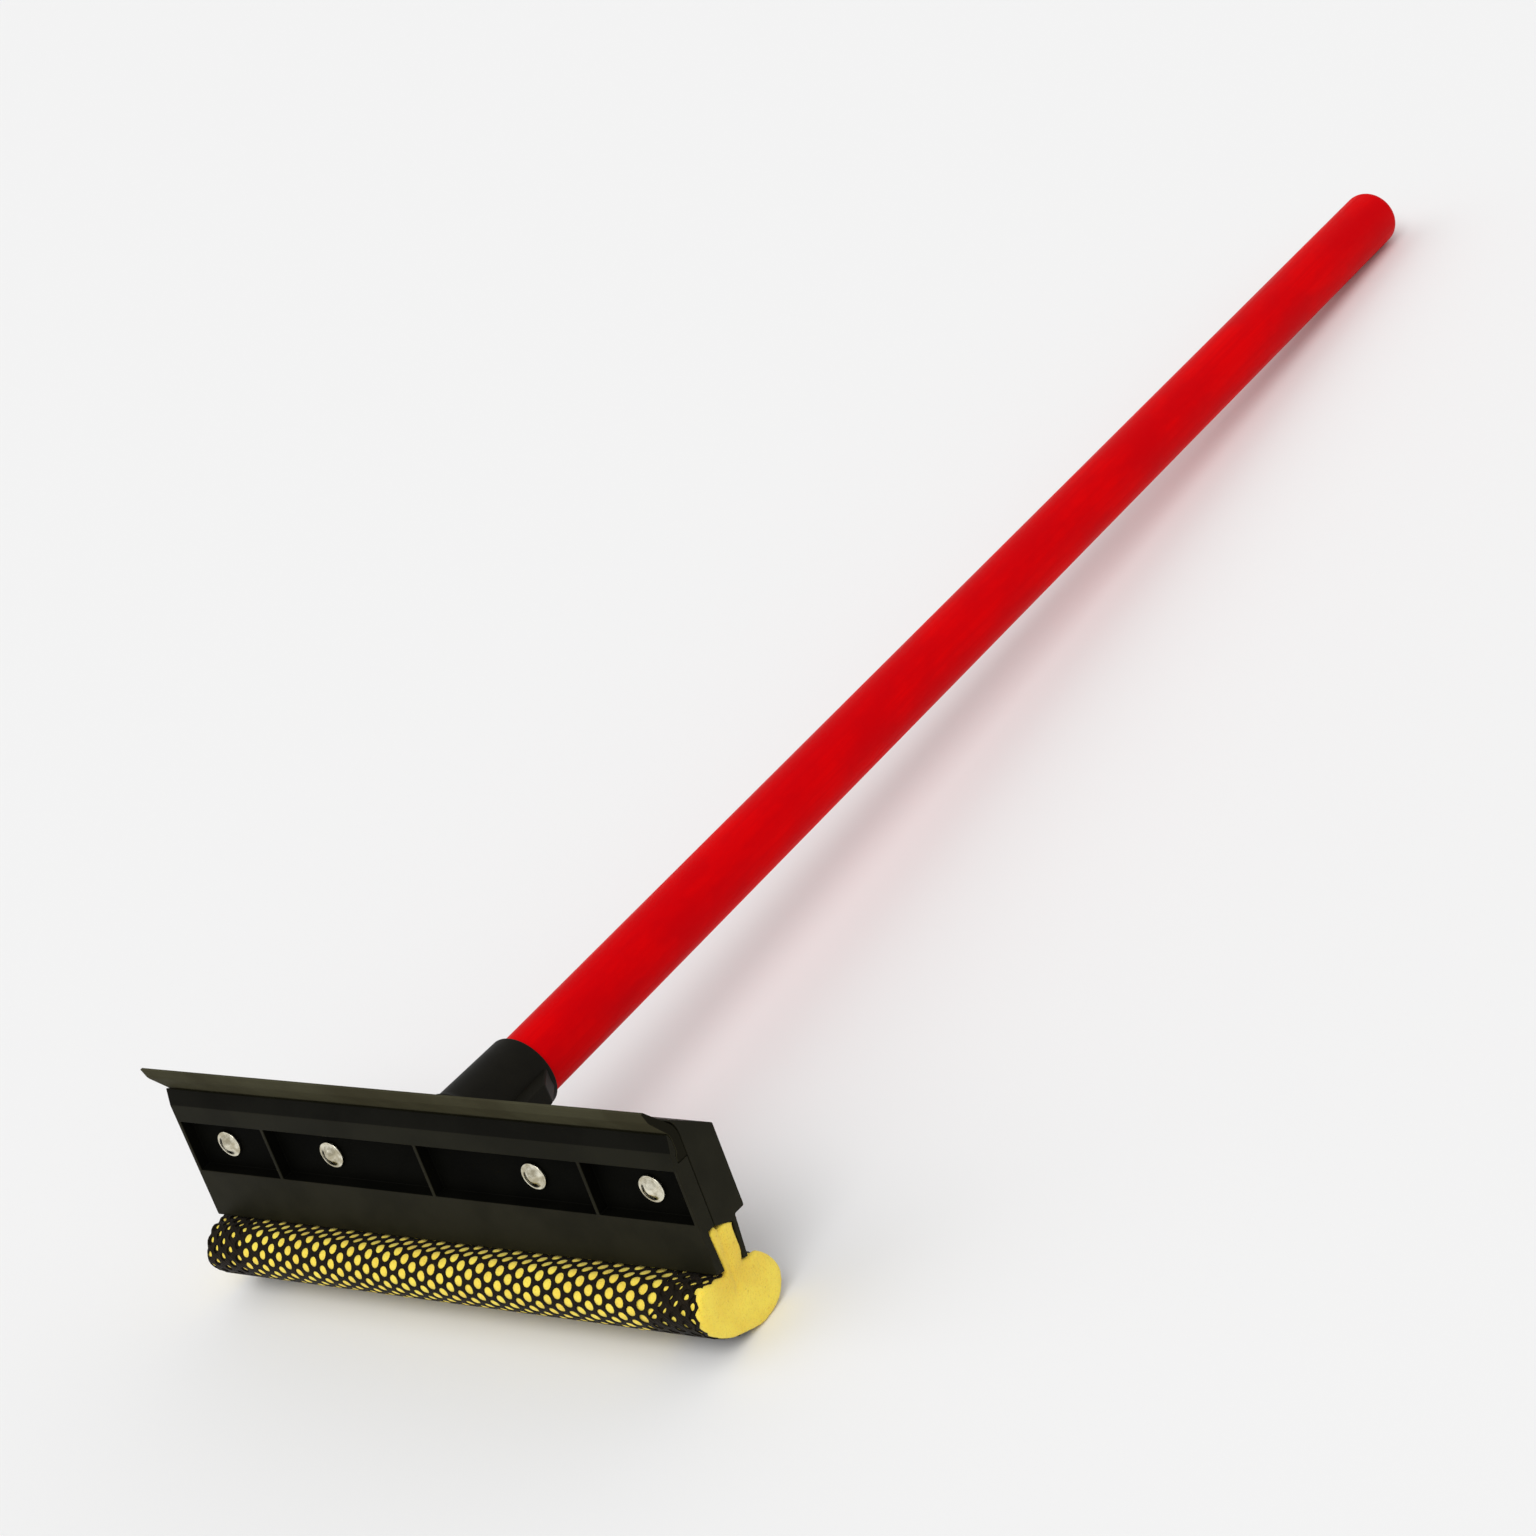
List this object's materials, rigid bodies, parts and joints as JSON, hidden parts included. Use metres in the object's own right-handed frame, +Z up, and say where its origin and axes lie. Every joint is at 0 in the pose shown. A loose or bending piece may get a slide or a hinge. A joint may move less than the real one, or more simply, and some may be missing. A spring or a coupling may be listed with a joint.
{
  "type": "windshield squeegee",
  "caption": "Windshield squeegee: riveted plastic head with a rubber blade above and a netted sponge below, on a long straight wood handle.",
  "frame": {"origin": "on the ground, under the centre of the tool's bounding box, as it lies on its sponge and on the tip of its handle", "axes": "+X along the head, to the right seen from the front; +Y from the head towards the handle's tip; +Z up, from the sponge towards the blade"},
  "size_m": [0.2032, 0.6266, 0.0813],
  "materials": {
    "head_plastic": "black moulded plastic, satin outside and coarser in the recess",
    "blade_rubber": "dark brownish grey rubber, matt",
    "sponge_foam": "yellow cellulose sponge with fine pores",
    "net_yarn": "black knitted net of thin yarn",
    "handle_paint": "turned wood dowel under glossy red paint",
    "fastener_steel": "bright plated steel"
  },
  "bodies": {
    "root": {"front_jaw": "head_plastic", "handle": "handle_paint", "handle_screw": "fastener_steel", "rear_jaw": "head_plastic", "rivet_1": "fastener_steel", "rivet_2": "fastener_steel", "rivet_3": "fastener_steel", "rivet_4": "fastener_steel", "scrub_sponge": "sponge_foam", "sponge_net": "net_yarn", "squeegee_blade": "blade_rubber", "washer_1": "fastener_steel", "washer_2": "fastener_steel", "washer_3": "fastener_steel", "washer_4": "fastener_steel"}
  },
  "joints": []
}
